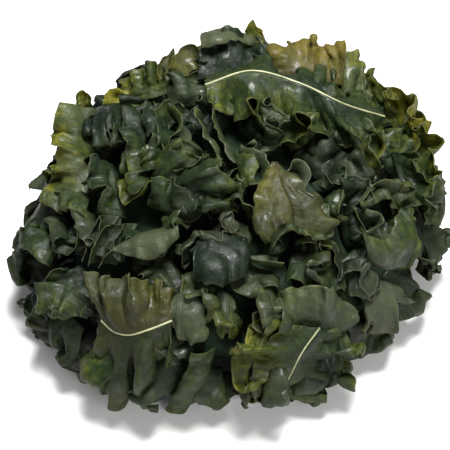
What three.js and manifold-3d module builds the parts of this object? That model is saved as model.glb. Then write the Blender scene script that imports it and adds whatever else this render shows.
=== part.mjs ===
// A heap of wakame, the ruffled brown-green blades of a kelp, piled as one tangled mound.
// The mound is a smaller solid core with the blades that show fused onto it. Each blade is a thin
// wavy sheet that hangs from one edge, its rib, and swings to and fro in ruffles towards its margin.
// Millimetres, +Z up. The origin is on the resting face, under the middle of the mound.
import * as THREE from "three";
import { mergeVertices } from "three/addons/utils/BufferGeometryUtils.js";
import Module from "manifold-3d";

const wasm = await Module();
wasm.setup();

const TAU = 2 * Math.PI;
const radians = THREE.MathUtils.degToRad;

// The mound, as the tips of the blades make it.
const GIRTH_LEVEL = 38; // height of its widest course above the resting face
const REACH = 112; // mean radius at that course
const OVAL = 7; // how much longer and shorter the oval's radii are than the mean
const OVAL_BEARING = radians(-45); // the oval's long way, as a bearing from the front
const CROWN = 56; // how far the top stands above the widest course
const BACK_RISE = 0.25; // the back stands this share higher than the middle, the front lower
const FOOT_SHARE = 0.78; // radius at the floor, as a share of the widest course's
const DOME_EDGE = 3; // the larger, the squarer the shoulders in plan
const DOME_ROUND = 0.6; // the smaller, the flatter the top

// The blades.
const BLADE_THICKNESS = 1.1;
const BLADE_STEPS = 24; // steps in which a blade's curve is summed from rib to margin
const LONG_RUFFLE = 30; // a ruffle longer than this along the rib has six facets, others four
const WIDE_BLADE = 33; // a blade wider than this has three rows of facets, others two
const RIB_THICKNESS = 2.2; // the pale string along a frond's thick edge
const FLOOR_GAP = 0.6; // a blade that reaches the floor lies this far above it, at its middle

// The core under them.
const CORE_DEPTH = 9; // how far the core stays inside the mound's outline
const CORE_LUMP = 2.5;
const ROOT_DEPTH = 3; // how far a blade's root goes into the core
const ROOT_BACK = 3; // how far the root lies behind where the blade comes out
const ROOT_LEAN = 80; // the angle at which a blade leaves its root

// ---------------------------------------------------------------- the mound's outline

// Bearing 0 is the front, -Y, and 90 degrees the right, +X.
function reachAt(bearing) {
  return REACH + OVAL * Math.cos(2 * (bearing - OVAL_BEARING));
}

function crownAt(y) {
  return CROWN * (1 + (BACK_RISE * y) / REACH);
}

// The mound's surface over the plan point x, y.
function topLevel(x, y) {
  const share = Math.min(Math.hypot(x, y) / reachAt(Math.atan2(x, -y)), 1);
  return GIRTH_LEVEL + crownAt(y) * (1 - share ** DOME_EDGE) ** DOME_ROUND;
}

// The mound's radius on a bearing at a height, on its foot or on its dome.
function radiusAt(bearing, level) {
  const reach = reachAt(bearing);
  if (level < GIRTH_LEVEL) {
    const below = 1 - level / GIRTH_LEVEL;
    return reach * (FOOT_SHARE + (1 - FOOT_SHARE) * Math.sqrt(1 - below * below));
  }
  const crown = crownAt(-reach * Math.cos(bearing));
  const rise = Math.min((level - GIRTH_LEVEL) / crown, 0.98);
  return reach * (1 - rise ** (1 / DOME_ROUND)) ** (1 / DOME_EDGE);
}

// A seat is a point of the mound and the way out of it there.
function topSeat(x, y) {
  const step = 2;
  const slopeX = (topLevel(x + step, y) - topLevel(x - step, y)) / (2 * step);
  const slopeY = (topLevel(x, y + step) - topLevel(x, y - step)) / (2 * step);
  const out = new THREE.Vector3(-slopeX, -slopeY, 1).normalize();
  return { point: new THREE.Vector3(x, y, topLevel(x, y)), out };
}

function wallSeat(bearing, level) {
  const radius = radiusAt(bearing, level);
  const away = new THREE.Vector3(Math.sin(bearing), -Math.cos(bearing), 0);
  const lift = Math.max(level - GIRTH_LEVEL, 0) / CROWN;
  return {
    point: away.clone().multiplyScalar(radius).setZ(level),
    out: away.setZ(lift).normalize(),
  };
}

// ---------------------------------------------------------------- the paths that ribs follow

// Over the top of the mound, from one plan point to another, bowed sideways by bow.
function overTop(from, to, bow = 0) {
  const length = Math.hypot(to[0] - from[0], to[1] - from[1]);
  const side = [-(to[1] - from[1]) / length, (to[0] - from[0]) / length];
  return (u) => {
    const off = bow * 4 * u * (1 - u);
    const x = from[0] + (to[0] - from[0]) * u + side[0] * off;
    const y = from[1] + (to[1] - from[1]) * u + side[1] * off;
    return topSeat(x, y);
  };
}

// Round the side of the mound, between two bearings in degrees and two heights.
function roundSide(bearings, levels) {
  return (u) =>
    wallSeat(
      radians(bearings[0] + (bearings[1] - bearings[0]) * u),
      levels[0] + (levels[1] - levels[0]) * u,
    );
}

// ---------------------------------------------------------------- one blade

// What a blade is like unless its own entry says otherwise. Angles are in degrees.
const PLAIN_BLADE = {
  width: 28, // how much of it shows, from where it comes out of the heap to its margin
  lift: 2, // how high it comes out over the mound
  lean: 0, // its angle off the mound
  curl: -25, // how far it bends over towards the margin, or back
  waves: 2, // ruffles along its length
  swing: 45, // how far the ruffles turn the margin
  start: 0, // where in a ruffle it starts
  notch: 0.05, // how deep the lobes of the margin are cut, as a share of the width
  tip: 0.4, // the width left at the ends, as a share
  rib: false, // it hangs from a pale rib that shows, over the mound
};

function ribFrame(blade, u) {
  const step = 0.01;
  const { point, out } = blade.path(u);
  const along = blade.path(u + step).point.sub(blade.path(u - step).point);
  along.normalize();
  out.addScaledVector(along, -out.dot(along)).normalize();
  const across = new THREE.Vector3().crossVectors(out, along);
  return { point, out, across };
}

// The points of a blade at one place along its rib, at one place in its ruffles. They run from its
// root in the core to its margin. A blade climbs from its root and bends over as it comes out.
function bladeColumn(blade, u, phase, rows) {
  const { point, out, across } = ribFrame(blade, u);
  const end = Math.sqrt(Math.max(1 - (2 * u - 1) ** 4, 0));
  const lobe = 1 + blade.notch * Math.sin(2 * phase + 1);
  const sunk = CORE_DEPTH + ROOT_DEPTH;
  const root = point.clone().addScaledVector(out, -sunk);
  const column = [root];
  let reach = blade.width * (blade.tip + (1 - blade.tip) * end) * lobe;
  if (blade.rib) {
    column.push(point.addScaledVector(out, blade.lift).clone());
  } else {
    root.addScaledVector(across, -ROOT_BACK);
    point.copy(root);
    reach += sunk + blade.lift;
  }
  for (let step = 1; step <= BLADE_STEPS; step++) {
    const v = (step - 0.5) / BLADE_STEPS;
    const climb = blade.rib ? 0 : (ROOT_LEAN - blade.lean) * (1 - v) ** 2;
    const turn = blade.swing * v * Math.sin(phase);
    const tilt = radians(blade.lean + climb + blade.curl * v * v + turn);
    point.addScaledVector(across, (Math.cos(tilt) * reach) / BLADE_STEPS);
    point.addScaledVector(out, (Math.sin(tilt) * reach) / BLADE_STEPS);
    if (step % (BLADE_STEPS / rows) === 0) {
      const place = point.clone();
      place.z = Math.max(place.z, FLOOR_GAP);
      column.push(place);
    }
  }
  return column;
}

// The columns fall either side of each crest and trough, so that the ruffles come out blunt.
function bladeColumns(blade) {
  const ribLength = blade.path(0).point.distanceTo(blade.path(1).point);
  const facets = ribLength / blade.waves > LONG_RUFFLE ? 6 : 4;
  const spans = Math.round(blade.waves * facets);
  const rows = blade.width > WIDE_BLADE ? 3 : 2;
  const columns = [];
  for (let i = 0; i <= spans; i++) {
    const stagger = i % spans ? (0.2 * Math.sin(5 * i + blade.width)) / spans : 0;
    const phase = (TAU * (i + (facets === 4 ? 0.5 : 0))) / facets + radians(blade.start);
    columns.push(bladeColumn(blade, i / spans + stagger, phase, rows));
  }
  return columns;
}

// A sheet of so many columns and rows of points, given a thickness for each row and closed round
// its edge.
function sheetGeometry(columns, thicknesses) {
  const across = columns.length;
  const up = columns[0].length;
  const clamp = (value, top) => Math.min(Math.max(value, 0), top);
  const at = (i, j) => columns[clamp(i, across - 1)][clamp(j, up - 1)];
  const faces = [[], []];
  for (let i = 0; i < across; i++) {
    for (let j = 0; j < up; j++) {
      const ahead = at(i + 1, j).clone().sub(at(i - 1, j));
      const outward = at(i, j + 1).clone().sub(at(i, j - 1));
      const normal = ahead.cross(outward).normalize();
      for (const side of [0, 1]) {
        const half = (side ? -1 : 1) * (thicknesses[j] / 2);
        faces[side].push(...at(i, j).clone().addScaledVector(normal, half));
      }
    }
  }
  const vertex = (side, i, j) => side * across * up + i * up + j;
  const triangles = [];
  const quad = (a, b, c, d) => triangles.push(a, b, c, a, c, d);
  for (let i = 0; i < across - 1; i++) {
    for (let j = 0; j < up - 1; j++) {
      const corners = [
        [i, j],
        [i + 1, j],
        [i + 1, j + 1],
        [i, j + 1],
      ];
      const [a, b, c, d] = corners.map((k) => vertex(0, ...k));
      const [e, f, g, h] = corners.map((k) => vertex(1, ...k));
      quad(a, b, c, d);
      triangles.push(e, g, f, e, h, g); // the same diagonal on both faces
    }
  }
  const border = [];
  for (let i = 0; i < across - 1; i++) border.push([i, 0]);
  for (let j = 0; j < up - 1; j++) border.push([across - 1, j]);
  for (let i = across - 1; i > 0; i--) border.push([i, up - 1]);
  for (let j = up - 1; j > 0; j--) border.push([0, j]);
  border.forEach((here, k) => {
    const next = border[(k + 1) % border.length];
    quad(vertex(1, ...here), vertex(1, ...next), vertex(0, ...next), vertex(0, ...here));
  });
  return new THREE.BufferGeometry()
    .setAttribute("position", new THREE.Float32BufferAttribute(faces.flat(), 3))
    .setIndex(triangles);
}

// ---------------------------------------------------------------- solids

function solidOf(geometry) {
  const bare = geometry.clone();
  bare.deleteAttribute("normal");
  bare.deleteAttribute("uv");
  const merged = mergeVertices(bare, 1e-4);
  return new wasm.Manifold(
    new wasm.Mesh({
      numProp: 3,
      vertProperties: new Float32Array(merged.attributes.position.array),
      triVerts: new Uint32Array(merged.index.array),
    }),
  );
}

function geometryOf(solid) {
  const { vertProperties, triVerts } = solid.getMesh();
  return new THREE.BufferGeometry()
    .setAttribute("position", new THREE.BufferAttribute(vertProperties, 3))
    .setIndex(new THREE.BufferAttribute(triVerts, 1))
    .toNonIndexed();
}

function bladeSolid(blade) {
  const columns = bladeColumns(blade);
  const thicknesses = columns[0].map(() => BLADE_THICKNESS);
  if (blade.rib) thicknesses[1] = RIB_THICKNESS;
  return solidOf(sheetGeometry(columns, thicknesses));
}

// A ball drawn out to the mound's outline, less CORE_DEPTH, with a flat foot and a lumpy side.
function coreSolid() {
  const ball = new THREE.SphereGeometry(1, 16, 8).rotateX(Math.PI / 2);
  const places = ball.attributes.position;
  for (let i = 0; i < places.count; i++) {
    const spot = new THREE.Vector3().fromBufferAttribute(places, i);
    const bearing = Math.atan2(spot.x, -spot.y);
    const share = Math.hypot(spot.x, spot.y);
    const lump = CORE_LUMP * Math.sin(5 * bearing + 4 * spot.z) * Math.sin(3 * bearing + 1);
    const away = [Math.sin(bearing), -Math.cos(bearing)];
    const foot = 0.6; // below this share of the ball, it is all flat foot
    if (spot.z >= 0) {
      const reach = reachAt(bearing);
      const radius = share * (reach - CORE_DEPTH + lump * share);
      const level = topLevel(away[0] * share * reach, away[1] * share * reach);
      const rise = (level - GIRTH_LEVEL) * (1 - CORE_DEPTH / CROWN);
      places.setXYZ(i, away[0] * radius, away[1] * radius, GIRTH_LEVEL + rise);
    } else {
      const level = GIRTH_LEVEL * Math.max(1 + spot.z / foot, 0);
      const inFoot = spot.z < -foot ? share / Math.sqrt(1 - foot * foot) : 1;
      const radius = inFoot * (radiusAt(bearing, level) - CORE_DEPTH + lump);
      places.setXYZ(i, away[0] * radius, away[1] * radius, level);
    }
  }
  return solidOf(ball);
}

// ---------------------------------------------------------------- the blades of the heap

// Those that can be told apart, from the front left round to the crown and the right. The ends of
// each rib are plan points, and the blade lies to the left of the way from the first to the second.
const TOP_BLADES = [
  // the long ruffled frond that hangs from a pale rib over the back right shoulder
  { path: overTop([85, 37], [-19, 52], 6), width: 33, lift: 10, lean: -12, waves: 4, swing: 45, rib: true },
  // the tall blade and the pleats at the left shoulder
  { path: overTop([-78, 66], [-98, -10], 4), width: 26, lift: 8, lean: 35, curl: 15, waves: 1.5, swing: 25 },
  { path: overTop([-46, 50], [-80, 40]), width: 33, lift: 6, waves: 2, start: 180 },
  { path: overTop([-14, 34], [-46, 38]), width: 32, lift: 7, waves: 2, swing: 55 },
  // the broad tongue left of the middle
  { path: overTop([-46, 0], [-50, -44]), width: 44, lift: 4, lean: 5, curl: -45, waves: 1.5, swing: 28 },
  // the nested folds over the middle
  { path: overTop([-16, 22], [0, -28], 3), width: 14, lean: 50, curl: 10, waves: 1.5, swing: 30 },
  { path: overTop([8, 20], [22, -22], 3), width: 16, lean: 45, curl: 10, waves: 1.5, swing: 30, start: 90 },
  // the creased leaf, in two halves either side of its crease, and the ruffled edge below it
  { path: overTop([22, -10], [32, -56]), width: 26, lift: 4, lean: 5, waves: 1, swing: 22, rib: true },
  { path: overTop([32, -56], [22, -10]), width: 27, lift: 4, lean: 8, waves: 1, swing: 22, rib: true },
  { path: overTop([60, -52], [6, -60]), width: 22, lift: 1, waves: 2.5 },
  // right of the middle: a flap and the frilled margins of the right shoulder
  { path: overTop([58, -30], [78, -60]), width: 34, lift: 4, lean: 5, waves: 1, swing: 25 },
  { path: overTop([104, -4], [96, 48]), width: 20, lean: 15, waves: 2.5, swing: 55 },
  { path: overTop([84, -9], [72, 19]), width: 20, lean: 20, waves: 1.5, swing: 50 },
  { path: overTop([58, -13], [46, 13]), width: 18, lean: 20, waves: 1.5, swing: 50, start: 180 },
  // the large leaves of the front right
  { path: overTop([68, -64], [74, -92]), width: 30, lean: 5, waves: 1.5, swing: 25 },
  { path: overTop([56, -78], [4, -88], 4), width: 40, lift: 5, lean: -5, waves: 1.5, swing: 25, start: 90 },
  { path: overTop([14, -104], [44, -88]), width: 24, lift: 6, lean: 5, waves: 1.5, swing: 30, rib: true },
  // the boxy dark leaf and the fold under it
  { path: overTop([4, -58], [-22, -58]), width: 28, lift: 4, lean: 5, waves: 1.5, swing: 38 },
  { path: overTop([4, -86], [-34, -84]), width: 30, waves: 1.5, swing: 40, start: 180 },
  // the hanging lobes of the front left, with a pale rib across them
  { path: overTop([-22, -68], [-66, -64]), width: 24, lift: 2, waves: 2 },
  { path: overTop([-34, -94], [-72, -86], -4), width: 32, lift: 4, waves: 2, swing: 38, rib: true },
  { path: overTop([-4, -100], [-30, -106]), width: 22, lean: 10, curl: 10, waves: 1, swing: 25 },
  // the left flank
  { path: overTop([-72, -68], [-102, -46]), width: 32, waves: 1.5, swing: 40 },
  { path: overTop([-66, -34], [-98, -18]), width: 30, lean: 5, waves: 2 },
  { path: overTop([-24, -46], [-58, -50]), width: 22, lift: 3, lean: 5, waves: 1, swing: 30 },
  { path: overTop([-58, 16], [-86, 12]), width: 26, lean: 5, waves: 1.5 },
  // the crown
  { path: overTop([-16, 72], [24, 76]), width: 20, lift: 4, lean: 45, curl: 30, waves: 1.5, swing: 25 },
  { path: overTop([-36, 54], [-12, 62]), width: 18, lean: 35, waves: 1.5, swing: 50 },
  { path: overTop([20, 62], [62, 64]), width: 18, lean: 50, waves: 2, swing: 30 },
  { path: overTop([56, 44], [82, 46]), width: 26, lean: 40, waves: 1.5, swing: 25 },
  { path: overTop([76, 66], [106, 26]), width: 20, lean: 20, waves: 1.5 },
];

// Fills the side and the back with courses of like blades. The draws are seeded, so that the
// heap is the same each time.
function courseBlades() {
  let seed = 7;
  const draw = (low, high) => {
    seed = (seed * 16807) % 2147483647;
    return low + ((high - low) * seed) / 2147483647;
  };
  const blades = [];
  const course = (count, start, stop, level) => {
    const pitch = (stop - start) / count;
    for (let k = 0; k < count; k++) {
      const middle = start + (k + 0.5) * pitch + draw(-4, 4);
      const half = pitch * draw(0.42, 0.52);
      const levels = [level + draw(-5, 5), level + draw(-5, 5)];
      // The heading is against the bearing, so that the blade hangs down.
      blades.push({
        path: roundSide([middle + half, middle - half], levels),
        width: draw(26, 33),
        lift: draw(0, 5),
        lean: draw(0, 12),
        waves: 1.5,
        swing: draw(30, 45),
        start: draw(0, 360),
      });
    }
  };
  course(11, -196, 164, 38);
  course(5, 92, 268, 64);
  course(3, 130, 230, 88);
  return blades;
}

// ---------------------------------------------------------------- the heap

const blades = [...TOP_BLADES, ...courseBlades()].map((own) => ({ ...PLAIN_BLADE, ...own }));
const pieces = [coreSolid(), ...blades.map(bladeSolid)];
const floor = solidOf(new THREE.BoxGeometry(400, 400, 60).translate(0, 0, -30));
// Scraps that touch nothing are dropped.
const bodies = wasm.Manifold.union(pieces).subtract(floor).decompose();
const [heap] = bodies.sort((a, b) => b.volume() - a.volume());

const wakame = new THREE.MeshStandardMaterial({ color: 0x2f3a24, roughness: 0.4, metalness: 0 });
const heapMesh = new THREE.Mesh(geometryOf(heap), wakame);
heapMesh.name = "wakame_heap";

const group = new THREE.Group();
group.add(heapMesh);
export default group;
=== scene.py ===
"""A heap of soaked wakame: ruffled kelp blades tangled over one another in a rounded mound."""

import math

import bpy
import numpy as np
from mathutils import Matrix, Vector


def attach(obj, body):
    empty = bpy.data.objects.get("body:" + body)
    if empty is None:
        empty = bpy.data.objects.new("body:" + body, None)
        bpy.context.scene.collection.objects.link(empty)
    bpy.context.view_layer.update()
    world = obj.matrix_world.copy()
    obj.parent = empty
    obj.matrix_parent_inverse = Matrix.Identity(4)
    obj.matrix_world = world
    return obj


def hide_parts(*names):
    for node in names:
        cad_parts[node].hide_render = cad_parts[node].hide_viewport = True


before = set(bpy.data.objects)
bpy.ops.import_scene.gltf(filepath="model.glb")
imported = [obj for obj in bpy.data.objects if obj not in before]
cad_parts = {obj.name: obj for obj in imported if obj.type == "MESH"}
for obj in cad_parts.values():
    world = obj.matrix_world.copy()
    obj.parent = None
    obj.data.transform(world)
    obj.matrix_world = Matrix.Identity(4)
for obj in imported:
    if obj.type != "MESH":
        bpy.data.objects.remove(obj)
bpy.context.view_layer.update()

# --------------------------------------------------
# The heart of the heap: one lumpy body that stands for the blades inside the mound. It shows only in the
# gaps, where its near-black colour is painted shade, and sinks well under the blades that grow out of it.

# the mound's widest level, its radius there, its rise above that, and how much more the back rises
GIRTH_LEVEL, REACH, CROWN, BACK_RISE = 38.0, 112.0, 56.0, 0.25  # millimetres as packed, and a share
HEART_DEPTH = 16.0  # from the mound's skin down to the heart


def put(value, socket):
    """Links another node's output to a socket, or sets the socket to a plain value."""
    if isinstance(value, bpy.types.NodeSocket):
        value.id_data.links.new(value, socket)
    else:
        socket.default_value = value


def add_node(tree, kind, inputs=()):
    """A new node in a tree, with what goes into its inputs."""
    node = tree.nodes.new(kind)
    for key, value in dict(inputs).items():
        put(value, node.inputs[key])
    return node


def math_node(operation, *values):
    """A math node over numbers and other nodes' outputs, in the tree of those outputs."""
    tree = next(value.id_data for value in values if isinstance(value, bpy.types.NodeSocket))
    node = tree.nodes.new("ShaderNodeMath")
    node.operation = operation
    for value, socket in zip(values, node.inputs):
        put(value, socket)
    return node.outputs[0]


def plus(a, b):
    return math_node("ADD", a, b)


def less(a, b):
    return math_node("SUBTRACT", a, b)


def times(a, b):
    return math_node("MULTIPLY", a, b)


def spots(vector, scale, detail):
    """Soft noise over a vector."""
    inputs = {"Vector": vector, "Scale": scale, "Detail": detail}
    return add_node(vector.id_data, "ShaderNodeTexNoise", inputs).outputs["Fac"]


def ramp(value, stops):
    """A colour, or a shade of grey, for each stop of a value."""
    node = add_node(value.id_data, "ShaderNodeValToRGB", {"Fac": value})
    marks = node.color_ramp.elements
    while len(marks) < len(stops):
        marks.new(0.5)
    for element, (at, colour) in zip(marks, stops):
        rgb = colour if isinstance(colour, tuple) else [colour] * 3
        element.position, element.color = at, (*rgb, 1)
    return node.outputs["Color"]


def bumps(height, distance, strength=1.0):
    inputs = {"Height": height, "Distance": distance, "Strength": strength}
    return add_node(height.id_data, "ShaderNodeBump", inputs).outputs["Normal"]


def new_finish(name, values):
    """A material, its shader with these plain values, and the place on the piece that it reads."""
    finish = bpy.data.materials.new(name)
    finish.use_nodes = True
    shader = finish.node_tree.nodes["Principled BSDF"]
    for key, value in values.items():
        shader.inputs[key].default_value = value
    return finish, shader, add_node(finish.node_tree, "ShaderNodeTexCoord").outputs["Object"]


dark, shader, where = new_finish("wakame_heart_finish", {"Roughness": 0.6, "Specular IOR Level": 0.08})
# painted shade: the heart's mottled near-black colour stands for the shade in the gaps between the blades
heart_mottle = spots(where, 70, 2)
put(ramp(heart_mottle, [(0, (0.004, 0.010, 0.005)), (1, (0.014, 0.028, 0.013))]), shader.inputs["Base Color"])
put(bumps(heart_mottle, 0.003), shader.inputs["Normal"])


def new_tree(name, sizes):
    """A Geometry Nodes tree with one named input for each size and for the finish."""
    tree = bpy.data.node_groups.new(name, "GeometryNodeTree")
    tree.interface.new_socket("Geometry", in_out="INPUT", socket_type="NodeSocketGeometry")
    for key, value in sizes.items():
        kind = "NodeSocketMaterial" if isinstance(value, bpy.types.Material) else "NodeSocketFloat"
        tree.interface.new_socket(key, in_out="INPUT", socket_type=kind)
    tree.interface.new_socket("Geometry", in_out="OUTPUT", socket_type="NodeSocketGeometry")
    return tree, tree.nodes.new("NodeGroupInput").outputs


def close_tree(tree, shape, finish):
    """Ends a tree: what it makes is realized and given its finish."""
    real = add_node(tree, "GeometryNodeRealizeInstances", {"Geometry": shape}).outputs[0]
    paint = add_node(tree, "GeometryNodeSetMaterial", {"Geometry": real, "Material": finish})
    add_node(tree, "NodeGroupOutput", {0: paint.outputs[0]})


def placed(name, data):
    """A new object of the scene, at the origin."""
    item = bpy.data.objects.new(name, data)
    bpy.context.scene.collection.objects.link(item)
    return item


def grown_piece(name, tree, sizes, seedling=None):
    """Runs a tree with its sizes on a seedling mesh, and keeps what it makes as a plain mesh."""
    maker = placed(name + "_maker", seedling or bpy.data.meshes.new(name + "_maker"))
    growth = maker.modifiers.new("growth", "NODES")
    growth.node_group = tree
    for item in tree.interface.items_tree:
        if item.in_out == "INPUT" and item.name in sizes:
            growth[item.identifier] = sizes[item.name]
    grown = maker.evaluated_get(bpy.context.evaluated_depsgraph_get())
    mesh = bpy.data.meshes.new_from_object(grown)
    maker.modifiers.remove(growth)
    bpy.data.objects.remove(maker)
    mesh.name = name
    mesh.shade_smooth()
    return placed(name, mesh)


heart_sizes = {
    "Reach": (REACH - HEART_DEPTH) / 1000,
    "Girth Level": GIRTH_LEVEL / 1000,
    "Crown": (CROWN - HEART_DEPTH) / 1000,
    "Back Rise": BACK_RISE,
    "Foot Drop": 1.12,  # the lower half reaches past the floor, and is cut off flat at Foot Level
    "Foot Level": 0.0008,
    "Lump": 0.008,
    "Finish": dark,
}
heart_tree, size = new_tree("heart of the heap", heart_sizes)
ball = add_node(heart_tree, "GeometryNodeMeshUVSphere", {"Segments": 96, "Rings": 48})
spot = add_node(heart_tree, "GeometryNodeInputPosition").outputs[0]
x, y, z = add_node(heart_tree, "ShaderNodeSeparateXYZ", {0: spot}).outputs
lump = add_node(heart_tree, "ShaderNodeTexNoise", {"Scale": 4.5}).outputs["Fac"]
lump = times(less(lump, 0.5), size["Lump"])
reach = plus(size["Reach"], lump)
rise = plus(times(y, size["Back Rise"]), 1)
dome = times(times(z, size["Crown"]), rise)
foot = times(times(z, size["Girth Level"]), size["Foot Drop"])
upper = math_node("GREATER_THAN", z, 0.0)
level = plus(plus(size["Girth Level"], times(dome, upper)), times(foot, less(1, upper)))
level = math_node("MAXIMUM", plus(level, lump), size["Foot Level"])
shaped = add_node(heart_tree, "ShaderNodeCombineXYZ", {0: times(x, reach), 1: times(y, reach), 2: level})
moved = {"Geometry": ball.outputs["Mesh"], "Position": shaped.outputs[0]}
moved = add_node(heart_tree, "GeometryNodeSetPosition", moved)
close_tree(heart_tree, moved.outputs[0], size["Finish"])
heart = grown_piece("wakame_heart", heart_tree, heart_sizes)
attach(heart, "root")
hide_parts("wakame_heap")

# --------------------------------------------------
# The fronds: the large blades that show best, each where the heap carries it. A blade is a thin
# supple sheet, drawn here between the line of its root and the line of its margin. Its margin has
# grown longer than its root, which is what ruffles it. Lines are in millimetres.

LONG, LARGE, MIDDLE, SMALL = (72, 12), (44, 13), (36, 10), (26, 9)  # a blade's points along and up
MIDDLE_OF_HEAP = np.array([0.0, 0.0, 22.0])  # blades face and stand away from it
ANY_PHASE = 6.28  # radians: a wave may start anywhere in its turn
STEEP_WAVE = 30  # waves shorter than this start on their slope
SECOND_WAVE, SECOND_SHARE = 2.3, 0.35  # a shorter wave along the margin, beside the main one
SIDE_SWING = 0.5  # the share of a swing that also goes along the blade and rolls its ruffles over
STEPS_TO_ROW = 3
MOST_RUFFLED = 3.2  # a margin is at most this many times as long as its root
SLACK = 1.06  # a drawn blade is this much wider than the gap between its two lines
HELD_RIB, HELD_ROOT, HELD_BURIED = 1, 3, 6  # how much of a blade, from its root, stays put
DRAWN_ROOM, SKIN_ROOM = 1.6, 1.14  # how far out a blade may spread, where 1 is the mound's skin


def unit(vectors):
    return vectors / np.maximum(np.linalg.norm(vectors, axis=-1, keepdims=True), 1e-9)


def through(points, u):
    """A smooth line through a few points, read at the shares u of its length."""
    points = np.array(points, float)
    at = np.cumsum(np.linalg.norm(np.diff(points, axis=0, prepend=points[:1]), axis=1))
    at /= at[-1]
    slopes = np.gradient(points, at, axis=0)
    k = np.clip(np.searchsorted(at, u, side="right") - 1, 0, len(at) - 2)
    gap = (at[k + 1] - at[k])[:, None]
    t = (u - at[k])[:, None] / gap
    ends = (1 + 2 * t) * (1 - t) ** 2 * points[k] + t * t * (3 - 2 * t) * points[k + 1]
    return ends + gap * (t * (1 - t) ** 2 * slopes[k] - t * t * (1 - t) * slopes[k + 1])


def waver(rng, u, count, low, high):
    """A smooth uneven line from -1 to 1: a few sine waves with low to high turns over its length."""
    turns, starts = rng.uniform(low, high, count), rng.uniform(0, 2 * math.pi, count)
    return np.sin(2 * math.pi * turns * u[:, None] + starts).mean(axis=1)


def length_of(line):
    return np.linalg.norm(np.diff(line, axis=0), axis=1).sum()


def uneven_width(rng, u, length):
    """A blade's width along its length, as shares of its mean width."""
    return 1 + 0.12 * waver(rng, u, 3, length / 90, length / 30)


def swung(rng, root, across, out, reach, rows, lean, waves, swing, start):
    """Points from a root to a ruffled margin.

    At each share v of its width the blade leans lean(v) degrees from across towards out, and swings
    to and fro about that in so many waves, more at its margin.
    """
    u = np.linspace(0, 1, len(root))
    along = unit(np.gradient(root, axis=0))
    phase = 2 * math.pi * waves * u + (0.0 if length_of(root) / waves > STEEP_WAVE else math.pi / 4)
    phase = phase + math.radians(start) + 0.7 * waver(rng, u, 2, 0.6, 2.2)
    second = 2 * math.pi * waves * SECOND_WAVE * u + rng.uniform(0, ANY_PHASE) + waver(rng, u, 2, 0.6, 2)
    uneven = 1 + 0.4 * waver(rng, u, 2, 0.7, 2)
    shift = rng.uniform(0, ANY_PHASE)
    point, lines, steps = root, [root], (rows - 1) * STEPS_TO_ROW
    for step in range(steps):
        v = (step + 0.5) / steps
        turn = uneven * v * np.sin(phase + 0.6 * v * np.sin(3 * u + shift))
        turn = turn + SECOND_SHARE * v * v * np.sin(second)
        tilt = np.radians(lean(v) + swing * turn)[:, None]
        sideways = np.radians(SIDE_SWING * swing * v * np.sin(2 * phase + 0.7))[:, None]
        ahead = (across * np.cos(tilt) + out * np.sin(tilt)) * np.cos(sideways) + along * np.sin(sideways)
        point = point + (reach / steps)[:, None] * ahead
        if step % STEPS_TO_ROW == STEPS_TO_ROW - 1:
            lines.append(point)
    return np.array(lines).transpose(1, 0, 2)


def grown(sheet, excess):
    """The lengths along a blade, evened out, with so much excess at its margin."""
    lengths = np.linalg.norm(np.diff(sheet, axis=0), axis=2)
    lengths = np.minimum(lengths, MOST_RUFFLED * lengths[:, :1])
    lengths[1:-1] = (lengths[:-2] + 2 * lengths[1:-1] + lengths[2:]) / 4
    return lengths * (1 + excess * np.linspace(0, 1, sheet.shape[1]) ** 2)


def ready(sheet, reach, excess, held, swing, **traits):
    """A blade before it settles: its points, the lengths that it keeps, and its traits.

    tone is how yellow it is, bloom how pale and grey, partly its own grey and partly painted sheen, with
    none well below 0, brown how brown, firm how well it keeps where it was drawn, and cord whether its
    root is a pale midrib.
    """
    rows = sheet.shape[1]
    return {
        "points": sheet,
        "along": grown(sheet, excess),
        "across": np.repeat((reach / (rows - 1))[:, None], rows - 1, axis=1),
        "held": np.linspace(0, 1, rows) * reach[:, None] < held,
        "frill": 0.035 * swing,
        **{"tone": 0.5, "bloom": 0.3, "brown": 0.05, "firm": 0.03, "cord": False, **traits},
    }


def drawn(seed, root, margin, arch=25, curl=-25, waves=2, swing=35, start=0, points=LARGE, **traits):
    """A blade between two drawn lines. It arches by arch degrees and curls by curl at its margin."""
    rng = np.random.default_rng(seed)
    n, m = points
    u, v = np.linspace(0, 1, n), np.linspace(0, 1, m)
    low, high = through(root, u), through(margin, u)
    along = unit(np.gradient(low + high, axis=0))
    span = high - low
    out = unit(np.cross(span, along))
    out *= np.sign(np.sum(out * (low + high - 2 * MIDDLE_OF_HEAP)))
    width = np.linalg.norm(span, axis=1)
    reach = SLACK * width * uneven_width(rng, u, length_of(high))
    sheet = swung(rng, low, unit(span), out, reach, m, lambda v: arch * (1 - 2 * v) + curl * (v * v - 0.33),
                  waves, swing, start)
    # the margin is brought to its drawn line, but for its ruffles
    miss = np.polynomial.polynomial.polyfit(u, high - sheet[:, -1], 3)
    sheet = sheet + v[None, :, None] * np.polynomial.polynomial.polyval(u, miss).T[:, None, :]
    held = HELD_RIB if "cord" in traits else HELD_ROOT
    return ready(sheet, reach, 0.0005 * swing, held, swing, room=DRAWN_ROOM, seed=seed, **traits)


def standing(seed, edge, height=14, **traits):
    """A blade that stands on edge along a drawn line and so shows little but its margin."""
    edge = np.array(edge, float)
    root = edge - height * unit(edge - MIDDLE_OF_HEAP)
    usual = {"arch": 45, "curl": -40, "waves": 1, "swing": 16, "tone": 0.35, "bloom": 0.7, "firm": 0.22}
    return drawn(seed, root, edge, points=MIDDLE, **{**usual, **traits})


def beside(line, back, up):
    """A line moved a little, for the second blade on one rib."""
    return [(x, y + back, z + up) for x, y, z in line]


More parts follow.
